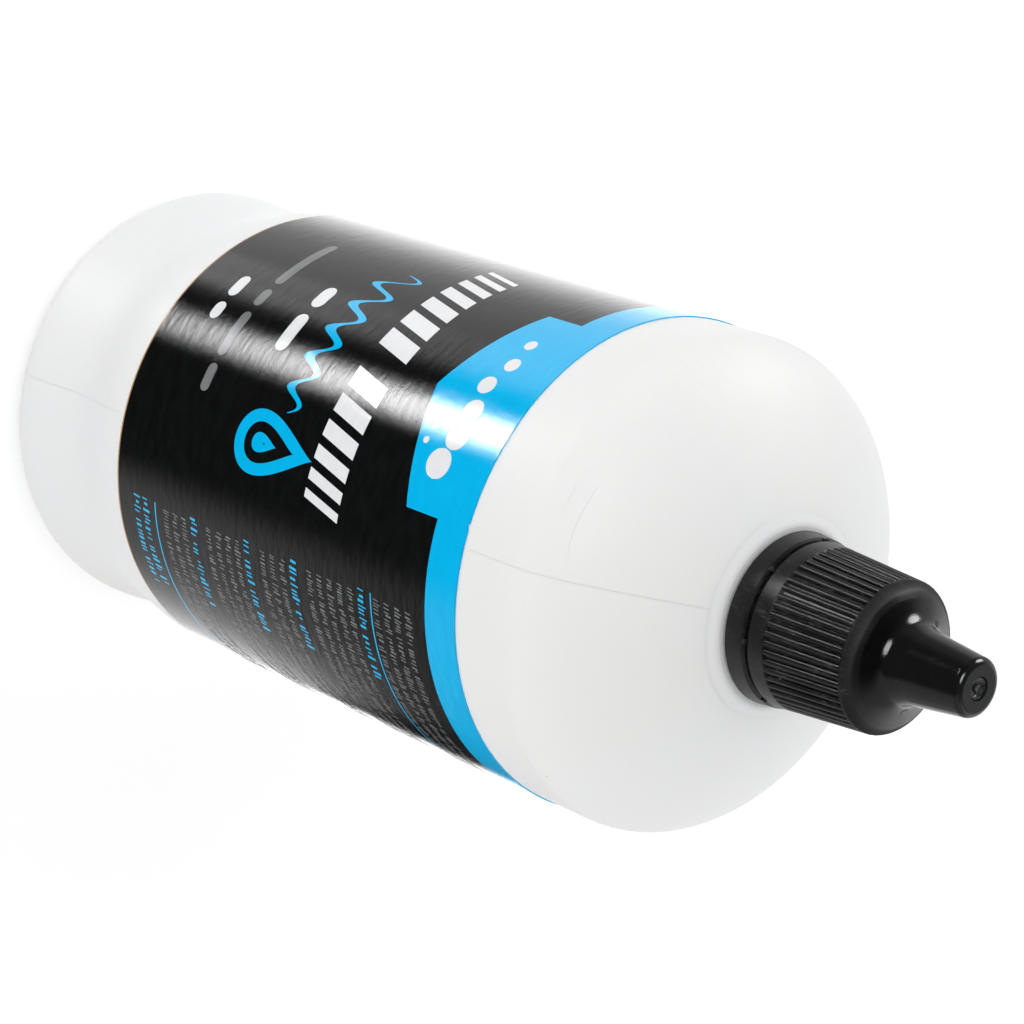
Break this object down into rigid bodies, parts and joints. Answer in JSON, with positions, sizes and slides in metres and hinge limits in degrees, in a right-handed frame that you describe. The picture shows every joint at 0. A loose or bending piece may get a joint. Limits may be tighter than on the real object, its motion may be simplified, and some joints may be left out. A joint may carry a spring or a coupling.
{
  "type": "chain lube bottle",
  "caption": "Squeeze bottle for bicycle chain lube, with a wrap label, dropper plug, ribbed screw cap with a spout, and tamper ring.",
  "frame": {"origin": "centre of the base, on the surface that the bottle stands on", "axes": "+Z along the bottle's axis towards the spout, -Y towards the front of the label"},
  "size_m": [0.054, 0.054, 0.1299],
  "materials": {
    "natural_hdpe": "satin",
    "natural_ldpe": "satin",
    "label_film": "gloss",
    "black_cap_plastic": "gloss"
  },
  "bodies": {
    "bottle": {"bottle": "natural_hdpe", "label": "label_film", "dropper_plug": "natural_ldpe"},
    "tamper_ring": {"tamper_ring": "black_cap_plastic"},
    "cap": {"cap": "black_cap_plastic"}
  },
  "joints": [
    {"name": "cap_turn", "type": "hinge", "parent": "bottle", "child": "tamper_ring", "pos_m": [0, 0, 0.1075], "axis": [0, 0, 1], "range_deg": [0, 720]},
    {"name": "cap_rise", "type": "slide", "parent": "tamper_ring", "child": "cap", "axis": [0, 0, 1], "range_m": [0, 0.0061]}
  ],
  "couplings": [
    {"joint": "cap_rise", "follows": "cap_turn", "m_per_rad": 0.00047746}
  ]
}
